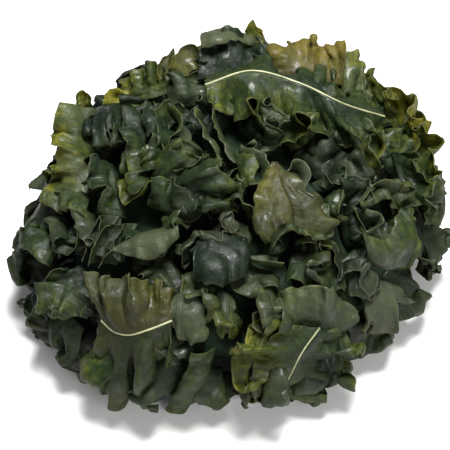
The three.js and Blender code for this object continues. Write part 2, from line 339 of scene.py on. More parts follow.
# the lines that two blades share
LONG_RIB = [(-16, 36, 105), (9, 42, 110), (36, 35, 107), (61, 24, 101), (85, 30, 87)]
SAGGING_RIB = [(-67, -92, 58), (-61, -97, 56), (-54, -101, 58), (-42, -103, 65), (-31, -99, 67)]
FRONT_RIB = [(42, -98, 60), (34, -105, 51), (28, -109, 35), (22, -111, 14)]
CREASE = [(22, -21, 100), (24, -36, 98), (28, -45, 94), (30, -56, 86)]

long_fronds = [
    # the long frond with the pale rib across the top, and its deep ruffles
    drawn(1, LONG_RIB, [(-15, 23, 99), (6, 16, 101), (27, 1, 99), (52, 6, 97), (68, -7, 91), (88, 31, 81)],
          -12, 30, 5, 75, tone=0.55, bloom=-0.3, points=LONG, firm=0.12, cord=True),
    # its other half, folded down behind the rib
    drawn(84, beside(LONG_RIB, 1, -1),
          [(-16, 50, 96), (10, 60, 98), (36, 52, 95), (62, 42, 90), (84, 44, 77)], 25, -20, 4, 50, tone=0.45,
          points=LONG),
    # the brown lobes at the back
    drawn(29, [(18, 58, 94), (38, 54, 94), (62, 50, 93)],
          [(20, 76, 98), (31, 80, 103), (42, 80, 103), (52, 78, 103), (62, 76, 101)], 0, -70, 1.8, 44,
          tone=0.8, bloom=0.2, brown=1.0, points=LONG),
    # the pleats over the front left
    drawn(20, beside(SAGGING_RIB, 0, -0.5), [(-76, -68, 68), (-60, -77, 73), (-44, -80, 76), (-30, -84, 72)],
          25, -20, 3.5, 52, tone=0.45, brown=0.5, points=LONG, firm=0.08),
    # the fine-toothed leaf at the front right
    drawn(16, [(18, -97, 56), (33, -99, 50), (50, -92, 42), (62, -83, 43)],
          [(16, -88, 70), (33, -81, 73), (50, -79, 67), (64, -80, 53)], 32, -20, 2, 24, 60, bloom=0.9,
          points=LONG),
]
top_fronds = [
    # the tall yellow blade at the left, and the small ones beside it
    drawn(2, [(-78, 33, 90), (-78, 16, 80), (-77, -4, 77), (-80, -22, 72)],
          [(-96, 30, 100), (-101, 17, 92), (-99, 2, 84), (-98, -17, 70)], 20, -15, 2, 34, tone=0.75,
          bloom=0.8, firm=0.06),
    drawn(44, [(-90, 34, 82), (-79, 39, 82)], [(-89, 40, 95), (-84, 42, 97), (-80, 40, 94)], 10, -10, 1, 20,
          tone=0.8),
    drawn(3, [(-85, 34, 84), (-75, 46, 82), (-63, 45, 84)], [(-84, 18, 80), (-71, 2, 90), (-60, 11, 92)],
          35, -30, 1.5, 25, tone=0.25),
    drawn(45, [(-76, 40, 84), (-62, 44, 82)], [(-74, 48, 91), (-67, 50, 93), (-61, 50, 89)], 5, 10, 1, 20,
          tone=1.0),
    drawn(46, [(-66, 50, 80), (-51, 44, 87), (-38, 45, 91)],
          [(-65, 55, 92), (-56, 62, 95), (-49, 64, 96), (-41, 64, 94)], 5, 15, 3, 45, tone=0.6),
    # the swirled leaf in the middle, over another
    drawn(5, [(-52, -10, 85), (-44, -24, 84), (-34, -34, 84), (-23, -39, 84)],
          [(-50, -6, 96), (-24, -9, 101), (-7, -22, 102), (1, -38, 96), (-11, -50, 90)], 30, -50, 3.2, 58,
          tone=0.4, bloom=0.2, firm=0.05),
    drawn(47, [(-46, -35, 82), (-33, -42, 82), (-20, -45, 82)],
          [(-44, -27, 94), (-32, -29, 97), (-22, -36, 97), (-17, -44, 92)], 25, -20, 2, 40, tone=0.4),
    # the curled cap at the back, with the green tip behind it
    drawn(27, [(-21, 52, 95), (1, 56, 95), (23, 56, 96)],
          [(-20, 74, 101), (-9, 79, 105), (6, 82, 104), (19, 79, 100)], 30, -30, 2.5, 38, tone=0.25),
    drawn(28, [(-17, 80, 105), (-8, 84, 108), (6, 84, 103)],
          [(-16, 65, 107), (-8, 65, 110), (3, 70, 107), (12, 79, 99)], 85, -140, 0.8, 26, tone=0.55,
          bloom=1.5, brown=0.3, firm=0.08),
    drawn(48, [(5, 74, 98), (19, 75, 97)], [(7, 84, 110), (10, 86, 114), (17, 84, 107)], 10, -10, 1, 14,
          tone=0.85, bloom=0.1),
    # the pale pointed leaf, the olive one and the star at the right of the rib
    drawn(30, [(57, 38, 88), (67, 37, 85), (79, 43, 78)],
          [(60, 62, 94), (66, 69, 100), (71, 72, 104), (75, 62, 97), (78, 46, 89)], 15, 30, 1.4, 30,
          tone=0.75, bloom=1.3),
    drawn(31, [(76, 57, 78), (83, 46, 77), (92, 53, 68)],
          [(75, 58, 94), (79, 62, 98), (84, 54, 94), (88, 42, 90)], 15, 20, 1.5, 32, tone=0.8, bloom=-0.3),
    drawn(32, [(87, 40, 76), (97, 36, 68), (100, 12, 70)],
          [(87, 40, 90), (93, 46, 94), (98, 36, 95), (104, 24, 90)], 20, -15, 2, 38, tone=0.9, bloom=0.6),
    drawn(33, [(98, 38, 66), (101, 10, 66), (102, -8, 62)],
          [(101, 30, 92), (107, 20, 90), (111, 6, 84), (112, -8, 76)], 10, -10, 2.5, 42, tone=0.6),
    drawn(34, [(89, 16, 73), (91, 2, 70), (94, -11, 64)], [(99, 4, 84), (105, -10, 78), (107, -26, 68)],
          15, -15, 2, 40, tone=0.45, bloom=0.5),
    drawn(43, [(37, 35, 94), (54, 31, 92), (65, 27, 86)], [(46, 60, 94), (53, 61, 97), (59, 56, 92)],
          10, 0, 1.5, 25, tone=0.45),
    drawn(42, [(-104, 8, 62), (-90, -3, 70), (-77, -25, 75)],
          [(-104, -17, 62), (-93, -31, 72), (-80, -40, 78)], 30, -50, 1.5, 24, tone=0.6, bloom=0.5),
]
front_fronds = [
    # the creased leaf, its two halves meeting in the crease
    drawn(8, CREASE, [(19, -21, 99), (11, -38, 94), (8, -48, 90), (14, -63, 83)], 15, -15, 1, 20, bloom=0.2,
          brown=0.5),
    drawn(9, beside(CREASE, 0, -0.5), [(26, -24, 98), (39, -39, 93), (53, -46, 85), (43, -60, 79)],
          20, -20, 1.5, 28, tone=0.4, bloom=0.2, brown=0.4),
    # the flap beside it, open at the top, and the leaves under both
    drawn(11, [(67, -63, 69), (78, -60, 60), (90, -51, 50)],
          [(60, -40, 87), (63, -48, 83), (70, -53, 77), (76, -50, 73), (82, -42, 74), (86, -30, 77)],
          45, -30, 1, 14, bloom=0.5, firm=0.1),
    drawn(40, [(29, -65, 75), (43, -66, 70), (57, -59, 68)], [(24, -79, 74), (37, -80, 71), (54, -78, 63)],
          25, -20, 1.5, 25, tone=0.35),
    drawn(41, [(54, -62, 68), (61, -56, 70), (67, -50, 68)], [(55, -77, 62), (65, -78, 57), (75, -70, 55)],
          25, -20, 1, 20, tone=0.3),
    drawn(15, [(64, -70, 57), (74, -64, 56), (86, -58, 44)], [(64, -85, 38), (78, -78, 28), (94, -58, 30)],
          30, -40, 2, 36, bloom=1.3),
    # the yellow leaf at the front on its pale rib, one half on each side
    drawn(17, FRONT_RIB, [(17, -97, 62), (2, -103, 60), (1, -111, 42), (11, -110, 14)], 5, 10, 3.5, 66,
          tone=0.68, bloom=0.0, firm=0.1, cord=True),
    drawn(49, beside(FRONT_RIB, 0, -1), [(47, -94, 52), (60, -90, 40), (60, -93, 20), (37, -106, 8)],
          5, 10, 3.5, 66, tone=0.6, bloom=0.0, firm=0.1),
    # the dark box of a leaf in the middle, and the grey and rolled ones under it
    drawn(18, [(-18, -55, 84), (-7, -57, 85), (6, -58, 82)],
          [(-23, -82, 79), (-12, -88, 79), (-1, -87, 78), (7, -80, 78)], 45, -35, 1, 16, tone=0.05),
    drawn(19, [(-33, -88, 68), (-24, -84, 73), (-15, -85, 71)],
          [(-32, -100, 63), (-23, -108, 57), (-13, -104, 59)], 30, -15, 1, 18, bloom=1.3),
    drawn(50, [(-14, -87, 70), (-6, -84, 72), (0, -88, 68)], [(-12, -100, 64), (-6, -106, 60), (0, -101, 63)],
          30, -15, 1, 18, bloom=0.6),
    drawn(22, [(-9, -104, 54), (-15, -110, 33), (-25, -110, 5)],
          [(-23, -110, 57), (-30, -113, 33), (-38, -110, 6)], 55, -40, 1, 16, tone=0.6),
    # the sagging rib at the lower left, and the lobes that hang from it
    drawn(21, SAGGING_RIB,
          [(-72, -95, 27), (-66, -99, 18), (-55, -106, 12), (-43, -110, 33), (-32, -110, 48)],
          25, -35, 3.2, 58, tone=0.45, bloom=0.05, brown=0.2, cord=True),
    # the pale tongue and the big folds at the left
    drawn(25, [(-61, -64, 80), (-52, -56, 80), (-42, -52, 80), (-32, -48, 80), (-27, -46, 81)],
          [(-61, -67, 81), (-51, -72, 81), (-41, -74, 82), (-34, -72, 84), (-29, -60, 83)], 45, -70, 1, 16,
          tone=0.35, bloom=1.2, firm=0.08),
    drawn(35, [(-103, -69, 60), (-91, -65, 55), (-73, -78, 57)],
          [(-104, -73, 42), (-92, -80, 46), (-77, -86, 52)], 40, -40, 1.8, 34),
    drawn(23, [(-100, -66, 40), (-90, -72, 42), (-78, -84, 40)],
          [(-98, -78, 22), (-88, -88, 24), (-80, -93, 20)], 35, -30, 1.5, 26, tone=0.35, bloom=0.7),
    drawn(51, [(-84, -82, 24), (-74, -90, 28), (-64, -98, 22)],
          [(-84, -90, 8), (-74, -98, 8), (-62, -104, 8)], 35, -30, 1.5, 24, tone=0.45, bloom=0.6),
]
edges = [
    # the long pleats left of the middle
    drawn(61, [(-50, 30, 88), (-46, 0, 88), (-44, -24, 85)],
          [(-65, 30, 93), (-61, -2, 97), (-58, -24, 94), (-54, -38, 88)], 50, -40, 2, 38, tone=0.35,
          points=MIDDLE),
    drawn(62, [(-38, 26, 92), (-36, 0, 91), (-39, -18, 89)], [(-53, 26, 97), (-48, -4, 99), (-52, -26, 93)],
          45, -40, 2, 38, tone=0.25, points=MIDDLE),
    standing(63, [(-35, 28, 102), (-42, 19, 102), (-40, 3, 101), (-35, -9, 98)], tone=0.45),
    standing(64, [(-34, 25, 102), (-28, 14, 103), (-30, -1, 101), (-34, -8, 98)]),
    standing(65, [(-24, 19, 102), (-17, -3, 103), (-9, -18, 98)], 16, tone=0.4),
    standing(66, [(-14, 21, 103), (-10, 0, 103), (-2, -19, 97)], 16),
    standing(82, [(-35, -14, 98), (-25, -11, 102), (-16, -18, 102), (-22, -24, 101), (-32, -20, 99)], 9,
             tone=0.5),
    # the pocket and the pale tongue in it
    standing(67, [(5, -6, 99), (15, -13, 101), (20, -23, 98), (16, -32, 95), (8, -33, 93)], 15, swing=14),
    drawn(68, [(0, -5, 91), (1, -18, 88), (5, -30, 87)], [(9, -7, 97), (13, -20, 97), (11, -31, 94)],
          30, -20, 1, 12, tone=0.6, points=MIDDLE),
    # the thin pale loops under the creased leaf, and those right of it
    standing(69, [(5, -62, 86), (8, -73, 83), (17, -72, 82), (25, -71, 79)], 12, swing=12, tone=0.55),
    standing(70, [(35, -63, 81), (44, -62, 80), (54, -62, 76), (48, -55, 81)], 12, swing=12, tone=0.55),
    standing(71, [(66, -35, 86), (71, -27, 89), (80, -19, 88), (89, -16, 82), (97, -16, 72)], curl=20,
             swing=8, tone=0.6, bloom=1.0, firm=0.3),
    standing(72, [(27, -23, 95), (31, -15, 98), (37, -16, 98), (41, -24, 95), (38, -31, 91)], 14, swing=14),
    standing(73, [(49, -21, 92), (51, -29, 93), (58, -29, 91), (65, -21, 91), (63, -10, 92)], 14, swing=14),
    # the folds at the left, seen edge on
    standing(74, [(-103, -29, 65), (-98, -45, 66), (-89, -58, 68), (-83, -56, 73), (-84, -42, 76)], 15),
    standing(75, [(-87, -35, 77), (-82, -50, 76), (-75, -58, 76), (-70, -54, 81), (-70, -42, 83)], 15),
    standing(76, [(-75, -68, 70), (-70, -59, 79), (-65, -49, 83)], 13, tone=0.45),
    standing(77, [(-80, -63, 69), (-74, -53, 79), (-69, -43, 84)], 13, tone=0.3),
    standing(78, [(-69, -70, 71), (-62, -61, 81), (-58, -50, 85)], 13, tone=0.4),
    # the rosette: three curls, one in another
    standing(79, [(-38, 62, 99), (-33, 70, 103), (-25, 74, 106), (-19, 72, 101), (-22, 64, 98)], 16, tone=0.8,
             brown=0.6, firm=0.25),
    standing(80, [(-35, 56, 99), (-29, 54, 97), (-20, 56, 100)], 14, tone=0.6, bloom=0.9, firm=0.25),
    standing(81, [(-43, 56, 96), (-42, 66, 101), (-35, 72, 105)], 16, tone=0.7, brown=0.6, firm=0.25),
]

# --------------------------------------------------
# The skirts: blades in courses round the sides and the back, hanging over one another like roof
# tiles. Each course is a loop, with the sizes of its blades drawn from one seeded run.

OVAL, FOOT_SHARE = 7.0, 0.78  # the mound is so much wider across, and its foot so much narrower
SHOULDER, FALL = 3, 0.6  # its top falls as (1 - share**SHOULDER)**FALL from the middle to the rim
ROOT_DEPTH = 12.0  # from the mound's skin down to a blade's root


def reach_at(bearing):
    """The mound's radius at its widest course. Bearing 0 is the front, a quarter turn the right."""
    return REACH + OVAL * np.cos(2 * (bearing + math.pi / 4))


def foot_share(below):
    """The mound's radius at a share of the way down from its widest course."""
    return FOOT_SHARE + (1 - FOOT_SHARE) * np.sqrt(1 - below**2)


def mound_side(bearing, level):
    """The mound's radius on a bearing at a height."""
    reach = reach_at(bearing)
    foot = foot_share(np.clip(1 - level / GIRTH_LEVEL, 0, 1))
    crown = CROWN * (1 - BACK_RISE * reach * np.cos(bearing) / REACH)
    rise = np.clip((level - GIRTH_LEVEL) / crown, 0, 0.98)
    return reach * np.where(level < GIRTH_LEVEL, foot, (1 - rise ** (1 / FALL)) ** (1 / SHOULDER))


def round_side(bearings, levels):
    """A root's way round the side of the mound, between two bearings in degrees and two heights."""

    def way(u, sway):
        bearing = np.radians(bearings[0] + (bearings[1] - bearings[0]) * u)
        level = np.maximum(levels[0] + (levels[1] - levels[0]) * u + sway, 4)
        away = np.stack([np.sin(bearing), -np.cos(bearing)], axis=1)
        lift = np.maximum(level - GIRTH_LEVEL, 0) / CROWN
        return (np.column_stack([away * mound_side(bearing, level)[:, None], level]),
                np.column_stack([away, lift]))

    return way


def blade(seed, way, width, lift, lean, curl, waves, swing, start, tip=0.4, points=MIDDLE, **traits):
    """A blade that comes out of the mound.

    It comes out along its way lift above the skin, leans lean degrees off the mound and curls at
    its margin. Its ends are tip times as wide as its middle.
    """
    rng = np.random.default_rng(seed)
    n, m = points
    u = np.linspace(0, 1, n)
    ends, _ = way(np.array([0.0, 1.0]), 0)
    length = np.linalg.norm(ends[1] - ends[0])
    root, out = way(u, 0.08 * length * waver(rng, u, 2, 0.6, 1.5))
    along = unit(np.gradient(root, axis=0))
    out = unit(out - along * np.sum(out * along, axis=1, keepdims=True))
    across = np.cross(out, along)
    outline = tip + (1 - tip) * np.sqrt(1 - np.abs(2 * u - 1) ** 3)
    reach = width * outline * uneven_width(rng, u, length) + ROOT_DEPTH + lift
    sheet = swung(rng, root - out * ROOT_DEPTH - across * 3, across, out, reach, m,
                  lambda v: lean + (80 - lean) * (1 - v) ** 2 + curl * v * v, waves, swing, start)
    brown = 0.15 * rng.random()
    return ready(sheet, reach, 0.1, HELD_BURIED, swing, room=SKIN_ROOM, seed=seed, brown=brown, **traits)


skirt_draws = np.random.default_rng(7)


def course(count, start, stop, level):
    """So many skirts side by side, between two bearings and at about one height."""
    blades, pitch, draw = [], (stop - start) / count, skirt_draws.uniform
    for k in range(count):
        middle, half = start + (k + 0.5) * pitch + draw(-6, 6), pitch * draw(0.42, 0.6)
        way = round_side([middle + half, middle - half], [level + draw(-13, 13), level + draw(-13, 13)])
        blades.append(blade(100 + level + k, way, width=draw(24, 36), lift=draw(0, 5), lean=draw(0, 22),
                            curl=draw(-40, 15), waves=draw(1.8, 3.4), swing=draw(42, 64),
                            start=draw(0, 360), tone=draw(0.1, 0.5), bloom=draw(0.1, 0.7)))
    return blades


# three courses, each shorter than the one under it, and two blades more at the left
skirts = (course(11, -196, 164, 38) + course(5, 92, 268, 64) + course(3, 130, 230, 88)
          + course(2, 260, 312, 53))

# --------------------------------------------------
# The ruffles: smaller blades that fill the skin between the large ones, spread evenly by the
# golden turn, over the top and round the foot.

TOP_RUFFLES, FOOT_RUFFLES = 54, 28
GOLDEN_TURN = math.pi * (3 - math.sqrt(5))


def mound_top(x, y):
    """The height of the mound's skin over a plan point."""
    share = np.minimum(np.hypot(x, y) / reach_at(np.arctan2(x, -y)), 1.0)
    return GIRTH_LEVEL + CROWN * (1 + BACK_RISE * y / REACH) * (1 - share**SHOULDER) ** FALL


def over_top(start, end, bow):
    """A root's way over the mound between two plan points, bowed to its left by bow."""
    start, end = np.array(start, float), np.array(end, float)
    side = np.array([start[1] - end[1], end[0] - start[0]]) / np.linalg.norm(end - start)

    def way(u, sway):
        x, y = (start + (end - start) * u[:, None] + side * (bow * 4 * u * (1 - u) + sway)[:, None]).T
        slope = [mound_top(x - 2, y) - mound_top(x + 2, y), mound_top(x, y - 2) - mound_top(x, y + 2)]
        return np.stack([x, y, mound_top(x, y)], axis=1), np.stack([*slope, np.full_like(x, 4)], axis=1)

    return way


ruffle_draws = np.random.default_rng(11)


def top_ruffle(k):
    """The k-th ruffle over the top, counted from the middle outwards."""
    draw = ruffle_draws.uniform
    bearing, share = k * GOLDEN_TURN, math.sqrt((k + 0.5) / TOP_RUFFLES)
    radius = share * reach_at(bearing) * 0.96
    middle = radius * np.array([math.sin(bearing), -math.cos(bearing)])
    turn = math.pi - bearing + math.radians(draw(-65, 65))  # the margin hangs downhill, more or less
    half = draw(13, 24) * np.array([math.cos(turn), -math.sin(turn)])
    ends = [middle - half, middle + half]
    for end in ends:  # both ends stay on the mound
        end /= max(1, np.hypot(*end) / (0.98 * reach_at(math.atan2(end[0], -end[1]))))
    return blade(200 + k, over_top(*ends, draw(-4, 4)), width=draw(14, 24), lift=draw(-8, -2),
                 lean=draw(5, 65), curl=draw(-40, 10), waves=draw(1.4, 3), swing=draw(35, 60),
                 start=draw(0, 360), tone=draw(0.05, 0.6), bloom=draw(0.1, 0.6), tip=0.35, firm=0.01)


def foot_ruffle(k):
    """The k-th ruffle round the foot, counted upwards."""
    draw = ruffle_draws.uniform
    bearing, level = math.degrees(k * GOLDEN_TURN), 6 + 34 * (k + 0.5) / FOOT_RUFFLES
    half, slant = draw(6, 11), draw(-8, 8)
    way = round_side([bearing + half, bearing - half], [level + slant, level - slant])
    return blade(400 + k, way, width=draw(12, 20), lift=draw(-2, 2), lean=draw(0, 40),
                 curl=draw(-30, 10), waves=draw(1.4, 2.6), swing=draw(35, 55), start=draw(0, 360),
                 tone=draw(0.05, 0.35), bloom=draw(0.1, 0.6), tip=0.35, points=SMALL, firm=0.01)


top_ruffles = [top_ruffle(k) for k in range(TOP_RUFFLES)]
foot_ruffles = [foot_ruffle(k) for k in range(FOOT_RUFFLES)]

# --------------------------------------------------
# The settling. Soaked blades are supple and lie on one another. Each keeps the lengths it has
# grown to, resists sharp folds, sinks a little under its weight, and keeps clear of the heart,
# the floor, its own folds and the other blades.

ROUNDS, ROUNDS_APART = 120, 3  # in every third round, blades that are too close move apart
CLEARANCE, PUSH = 2.6, 0.6  # how far apart blades lie, and the share of a fault mended at once
JOINED = 3.2 * CLEARANCE  # points of one blade, nearer than this along it, may lie closer
FLOOR_LEVEL = 1.2
MOST_BLADES = 1000  # in a bundle
WEIGHT = 0.012  # how far a free point sinks in a round
KEPT_SPEED, TOP_SPEED = 0.9, 0.8  # a point goes on by this share of its last way, and this at most
FOLD_RADIUS = 2.6  # a blade doesn't fold sharper than this
FOLD_STIFFNESS, SLANT_STIFFNESS = 0.3, 0.12
INNER_SKIN = 0.90  # the share of the mound that free parts stay out of
SKIN_STEP, SKIN_SCALE = 0.03, 60  # the most fault mended in a round, and millimetres to a share of 1


def bundle(blades):
    """Blades with the same number of points as one set of arrays, so that they settle together."""

    def all_of(trait):
        return np.array([one[trait] for one in blades], dtype=np.float32)

    points, along, across = all_of("points"), all_of("along"), all_of("across")
    place = [np.cumsum(np.insert(along, 0, 0, axis=1), axis=1),
             np.cumsum(np.insert(across, 0, 0, axis=2), axis=2)]
    folds = []
    for axis, rest in ((1, np.moveaxis(along, 1, 0)), (2, np.moveaxis(across, 2, 0))):
        for reach in (2, 4, 8):
            span = sum(rest[k:len(rest) - reach + 1 + k] for k in range(reach))
            bent = np.sinc(np.minimum(span / (2 * math.pi * FOLD_RADIUS), 0.9))  # a chord over its arc
            folds.append((axis, reach, span * bent))
    slants = [np.linalg.norm(points[:, 1:, 1:] - points[:, :-1, :-1], axis=-1),
              np.linalg.norm(points[:, 1:, :-1] - points[:, :-1, 1:], axis=-1)]
    return {
        "points": points,
        "before": points.copy(),
        "first": points.copy(),
        "firm": all_of("firm")[:, None, None, None],
        "room": all_of("room")[:, None, None],
        "loose": 1 - all_of("held"),
        "lengths": [along, across],
        "folds": folds,
        "slants": slants,
        "place": np.stack(place, axis=-1),
        "proud": np.clip(place[1] / ROOT_DEPTH - 1, 0, 1),
    }


def keep_length(a, b, loose_a, loose_b, least, most, stiffness):
    """Moves the points a and b, in place, towards a distance from least to most."""
    step = b - a
    distance = np.sqrt(np.einsum("...i,...i", step, step)) + 1e-6
    share = loose_a + loose_b
    fault = (distance - np.clip(distance, least, most)) / distance * stiffness / np.maximum(share, 1e-6)
    move = fault[..., None] * step
    a += loose_a[..., None] * move
    b -= loose_b[..., None] * move


def keep_shape(group):
    """One pass over a bundle's lengths, its slants and its resistance to folding."""
    points, loose = group["points"], group["loose"]
    for axis in (1, 2):
        line, weight = np.moveaxis(points, axis, 0), np.moveaxis(loose, axis, 0)
        rest = np.moveaxis(group["lengths"][axis - 1], axis, 0)
        for _ in range(2):
            for first in (0, 1):
                span = rest[first::2]
                a, b = slice(first, first + 2 * len(span) - 1, 2), slice(first + 1, first + 2 * len(span), 2)
                keep_length(line[a], line[b], weight[a], weight[b], span, span, 1.0)
    for axis, reach, least in group["folds"]:
        line, weight = np.moveaxis(points, axis, 0), np.moveaxis(loose, axis, 0)
        keep_length(line[:-reach], line[reach:], weight[:-reach], weight[reach:], least, np.inf,
                    FOLD_STIFFNESS)
    low, up = slice(None, -1), slice(1, None)
    for slant, a, b in zip(group["slants"], (low, up), (up, low)):
        keep_length(points[:, low, a], points[:, up, b], loose[:, low, a], loose[:, up, b], slant, slant,
                    SLANT_STIFFNESS)


def fullness(points):
    """How far out a point lies: 0 in the middle of the mound, 1 on its skin."""
    x, y, z = np.moveaxis(points, -1, 0)
    share = np.hypot(x, y) / reach_at(np.arctan2(x, -y))
    rise = (z - GIRTH_LEVEL) / (CROWN * (1 + BACK_RISE * y / REACH))
    foot = foot_share(np.clip(-rise * CROWN / GIRTH_LEVEL, 0, 1))
    return np.where(rise > 0, (share**SHOULDER + np.maximum(rise, 0) ** (1 / FALL)) ** 0.45, share / foot)


def keep_in_skin(group):
    """Moves free points out of the heart, back from beyond the heap, and up off the floor."""
    points = group["points"]
    full = fullness(points)
    outward = (np.clip(INNER_SKIN - full, 0, SKIN_STEP) * group["proud"]
               - np.clip(full - group["room"], 0, SKIN_STEP))
    middle = np.array([0, 0, GIRTH_LEVEL * 0.6], dtype=np.float32)
    points += unit(points - middle) * (SKIN_SCALE * outward * group["loose"])[..., None]
    points[..., 2] = np.maximum(points[..., 2], FLOOR_LEVEL)


GRID_SIZE, GRID_CORNER = (320, 320, 160), (-160, -160, -10)
NEIGHBOURS = [(i, j, k) for i in (-1, 0, 1) for j in (-1, 0, 1) for k in (-1, 0, 1)]


def keep_apart(groups):
    """Moves points of different blades, or of far parts of one, to CLEARANCE from each other.

    Each cell of a grid over the heap remembers one point, and a point looks round its own cell.
    """
    points = np.concatenate([group["points"].reshape(-1, 3) for group in groups])
    place = np.concatenate([group["place"].reshape(-1, 2) for group in groups])
    loose = np.concatenate([group["loose"].ravel() for group in groups])
    owner = np.concatenate([
        np.repeat(np.arange(len(group["points"])) + MOST_BLADES * k, group["loose"][0].size)
        for k, group in enumerate(groups)
    ])
    rows, columns, layers = (int(side / CLEARANCE) for side in GRID_SIZE)
    cell = ((points - GRID_CORNER) / CLEARANCE).astype(int)
    key = (cell[:, 0] * columns + cell[:, 1]) * layers + cell[:, 2]
    keeper = np.full(rows * columns * layers, -1)
    keeper[key] = np.arange(len(points))
    push, crowd = np.zeros_like(points), np.ones(len(points))
    for i, j, k in NEIGHBOURS:
        other = keeper[key + (i * columns + j) * layers + k]
        mine = np.nonzero(other >= 0)[0]
        other = other[mine]
        step = points[mine] - points[other]
        distance = np.sqrt(np.einsum("...i,...i", step, step)) + 1e-6
        apart = np.abs(place[mine] - place[other]).sum(-1)
        joined = (owner[mine] == owner[other]) & (apart < JOINED)
        close = (distance < CLEARANCE) & ~joined
        mine, step, distance = mine[close], step[close], distance[close]
        push[mine] += step * ((CLEARANCE - distance) / distance)[:, None]
        crowd[mine] += 1
    push *= (PUSH * loose / crowd)[:, None]
    starts = np.cumsum([0] + [group["loose"].size for group in groups])
    for group, first, last in zip(groups, starts, starts[1:]):
        group["points"] += push[first:last].reshape(group["points"].shape)


bundles = [bundle(long_fronds), bundle(top_fronds + front_fronds), bundle(edges + skirts + top_ruffles),
           bundle(foot_ruffles)]
for settling in range(ROUNDS):
    for group in bundles:
        drift = np.clip((group["points"] - group["before"]) * KEPT_SPEED, -TOP_SPEED, TOP_SPEED)
        group["before"] = group["points"].copy()
        drift = drift + (group["first"] - group["points"]) * group["firm"]
        group["points"] += (drift - np.array([0, 0, WEIGHT], dtype=np.float32)) * group["loose"][..., None]
        keep_shape(group)
        keep_in_skin(group)
    if settling % ROUNDS_APART == 0:
        keep_apart(bundles)

# --------------------------------------------------
# The blades' sheets, as pieces by kind. Each sheet is under a millimetre thick and thinner at its
# margin, closed all round, and finely frilled and rumpled once it lies still.

BLADE_THICKNESS, MARGIN_THINNING = 0.75, 0.6
LEAST_CREASE = 1.3  # the settling's marks along a blade that are finer than this are eased out
# how far apart they lie, and how far they rise or cut in
CREASE_GAP, CREASE_RISE = 30, 1.1
FOLD_GAP, FOLD_RISE = 24, 1.2
WRINKLE_GAP, WRINKLE_RISE = 9, 0.5
NIBBLE_GAP, NIBBLE_DEPTH = 6, 0.8
FRILLS, DRIFTS = (9, 14), (11, 17)  # the shortest and longest frill of a margin, and their drift
SHEET_LEVEL = 1.0  # the least height of a sheet's middle over the floor


def rumple(points, size, seed):
    """Soft bumps of about one size, from -1 to 1, as crossed waves through the points."""
    rng = np.random.default_rng(seed)
    total = np.zeros(points.shape[:-1])
    for _ in range(7):
        way = rng.normal(size=3)
        way *= 2 * math.pi / (size * rng.uniform(0.7, 1.5) * np.linalg.norm(way))
        total += np.sin(points @ way + rng.uniform(0, ANY_PHASE))
    return total / 4


def refined(sheet):
    """Twice as many points each way, on smooth curves through the old ones."""
    for axis in (0, 1):
        old = np.moveaxis(sheet, axis, 0)
        padded = np.concatenate([2 * old[:1] - old[1:2], old, 2 * old[-1:] - old[-2:-1]])
        new = np.empty((2 * len(old) - 1,) + old.shape[1:])
        new[::2], new[1::2] = old, (9 * (padded[1:-2] + padded[2:-1]) - padded[:-3] - padded[3:]) / 16
        sheet = np.moveaxis(new, 0, axis)
    return sheet


def facing(sheet):
    return unit(np.cross(np.gradient(sheet, axis=0), np.gradient(sheet, axis=1)))


def thin_sheet(one, sheet):
    """A settled blade's points on both faces, its quads, and where on the blade each point lies."""
    sheet = sheet.astype(float)
    spacing = np.linalg.norm(np.diff(sheet[:, sheet.shape[1] // 2], axis=0), axis=1).mean()
    for _ in range(int(2 * (LEAST_CREASE / spacing) ** 2)):
        sheet[1:-1] = (sheet[:-2] + 2 * sheet[1:-1] + sheet[2:]) / 4
    sheet = refined(sheet)
    n, m = sheet.shape[:2]
    up = np.repeat(np.linspace(0, 1, m)[None], n, axis=0)
    rng = np.random.default_rng(one["seed"])
    run = np.cumsum(np.linalg.norm(np.diff(sheet[:, -1], axis=0, prepend=sheet[:1, -1]), axis=1))
    frill = 2 * math.pi * run / rng.uniform(*FRILLS)
    frill = np.sin(frill + 2.5 * np.sin(run / DRIFTS[0] + rng.uniform(0, 6)))
    frill = frill * (1 + np.sin(run / DRIFTS[1] + rng.uniform(0, 6))) / 2
    frill = one["frill"] * frill[:, None] * up**3
    creases = 1 - 2.2 * np.abs(rumple(sheet, CREASE_GAP, one["seed"] + 2))
    folds = FOLD_RISE * rumple(sheet, FOLD_GAP, 5) + WRINKLE_RISE * rumple(sheet, WRINKLE_GAP, one["seed"])
    folds = folds + CREASE_RISE * np.maximum(creases, -0.6)
    sheet = sheet + facing(sheet) * (folds * np.minimum(4 * up, 1) + frill)[..., None]
    inward = unit(sheet[:, -4:-3] - sheet[:, -1:])
    nibbles = NIBBLE_DEPTH * (1 + rumple(sheet[:, -1:], NIBBLE_GAP, one["seed"] + 1))
    sheet = sheet + inward * (nibbles * up**8)[..., None]
    sheet[..., 2] = np.maximum(sheet[..., 2], SHEET_LEVEL)
    half = facing(sheet) * (BLADE_THICKNESS / 2 * (1 - MARGIN_THINNING * up))[..., None]
    index = np.arange(n * m).reshape(n, m)
    front = np.stack([index[:-1, :-1], index[1:, :-1], index[1:, 1:], index[:-1, 1:]], axis=-1).reshape(-1, 4)
    loop = np.concatenate([index[:, 0], index[-1, 1:], index[-2::-1, -1], index[0, -2:0:-1]])
    after = np.roll(loop, -1)
    rim = np.stack([loop + n * m, after + n * m, after, loop], axis=-1)
    return (np.concatenate([(sheet + half).reshape(-1, 3), (sheet - half).reshape(-1, 3)]),
            np.concatenate([front, front[:, ::-1] + n * m, rim]),
            {"toward_margin": np.tile(up.ravel(), 2),
             "fibre": np.tile(np.repeat(run, m), 2),
             **{key: np.full(2 * n * m, one[key]) for key in ("tone", "bloom", "brown")}})


